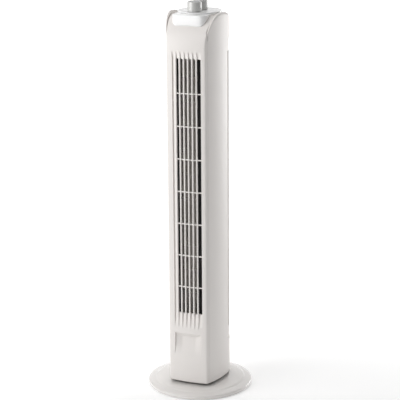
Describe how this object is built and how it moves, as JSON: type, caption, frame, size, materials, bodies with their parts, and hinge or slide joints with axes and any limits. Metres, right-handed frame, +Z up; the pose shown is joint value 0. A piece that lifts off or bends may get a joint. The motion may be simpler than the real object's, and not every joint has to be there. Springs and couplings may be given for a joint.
{
  "type": "tower fan",
  "caption": "White tower fan: slotted front air outlet, louvred round back, round base, swinging column with a motor and cross-flow impeller inside, knobs on top.",
  "frame": {"origin": "on the floor under the middle of the round base", "axes": "+Z up along the column, the air outlet faces -Y, +X to the fan's left hand"},
  "size_m": [0.216, 0.216, 0.802],
  "materials": {
    "white_plastic": "glossy moulded white",
    "dark_plastic": "fine matt black",
    "grey_plastic": "matt grey",
    "cream_plastic": "natural acetal",
    "knob_silver": "satin silver paint",
    "soft_rubber": "matt black",
    "steel": "plain steel",
    "zinc_plate": "zinc plated",
    "copper_wire": "enamelled copper",
    "bronze": "sintered bronze"
  },
  "bodies": {
    "base": {"base_shell": "white_plastic", "base_cover": "dark_plastic", "foot_1": "soft_rubber", "foot_2": "soft_rubber", "foot_3": "soft_rubber", "foot_4": "soft_rubber", "foot_5": "soft_rubber", "base_screw_1": "zinc_plate", "base_screw_2": "zinc_plate", "base_screw_3": "zinc_plate", "cord_grommet": "soft_rubber", "swivel_post": "steel", "swivel_ring": "cream_plastic", "slotted_arm": "steel", "arm_screw_1": "zinc_plate", "arm_screw_2": "zinc_plate", "retaining_washer": "zinc_plate", "retaining_nut": "zinc_plate"},
    "tower": {"tower_floor": "dark_plastic", "front_cover": "white_plastic", "rear_cover": "white_plastic", "rear_grille": "white_plastic", "grille_screw_1": "zinc_plate", "grille_screw_2": "zinc_plate", "control_box": "white_plastic", "dial_plate": "white_plastic", "speed_switch": "dark_plastic", "timer_unit": "zinc_plate", "duct_lower_plate": "dark_plastic", "duct_upper_plate": "dark_plastic", "scroll_wall": "dark_plastic", "tongue_wall": "dark_plastic", "upper_bearing": "bronze", "bearing_seat": "soft_rubber", "motor_stator": "steel", "coil_lower": "copper_wire", "coil_upper": "copper_wire", "motor_cup_lower": "zinc_plate", "motor_cup_upper": "zinc_plate", "motor_bearing_lower": "bronze", "motor_bearing_upper": "bronze", "motor_mount_1": "soft_rubber", "motor_mount_2": "soft_rubber", "motor_mount_3": "soft_rubber", "swing_bracket": "zinc_plate", "swing_motor": "steel", "wiring_loom": "soft_rubber"},
    "rotor": {"impeller": "grey_plastic", "impeller_hub": "zinc_plate", "impeller_pin": "steel", "motor_shaft": "steel", "motor_rotor": "steel"},
    "speed_dial": {"speed_knob": "knob_silver", "speed_spindle": "bronze"},
    "timer_dial": {"timer_knob": "knob_silver", "timer_spindle": "bronze"},
    "crank": {"swing_crank": "cream_plastic"}
  },
  "joints": [
    {"name": "column_swing", "type": "hinge", "parent": "base", "child": "tower", "pos_m": [0, 0, 0.0187], "axis": [0, 0, 1], "range_deg": [-35, 35]},
    {"name": "impeller_spin", "type": "hinge", "parent": "tower", "child": "rotor", "pos_m": [-0.009, 0.004, 0.107], "axis": [0, 0, 1], "continuous": true},
    {"name": "speed_turn", "type": "hinge", "parent": "tower", "child": "speed_dial", "pos_m": [0, -0.0155, 0.7815], "axis": [0, 0, -1], "range_deg": [0, 135]},
    {"name": "timer_turn", "type": "hinge", "parent": "tower", "child": "timer_dial", "pos_m": [0, 0.017, 0.7815], "axis": [0, 0, -1], "range_deg": [0, 300]},
    {"name": "crank_turn", "type": "hinge", "parent": "tower", "child": "crank", "pos_m": [0, 0.026, 0.04], "axis": [0, 0, 1], "range_deg": [-90, 90]}
  ],
  "couplings": [
    {"joint": "crank_turn", "follows": "column_swing", "ratio": -2.5714}
  ]
}
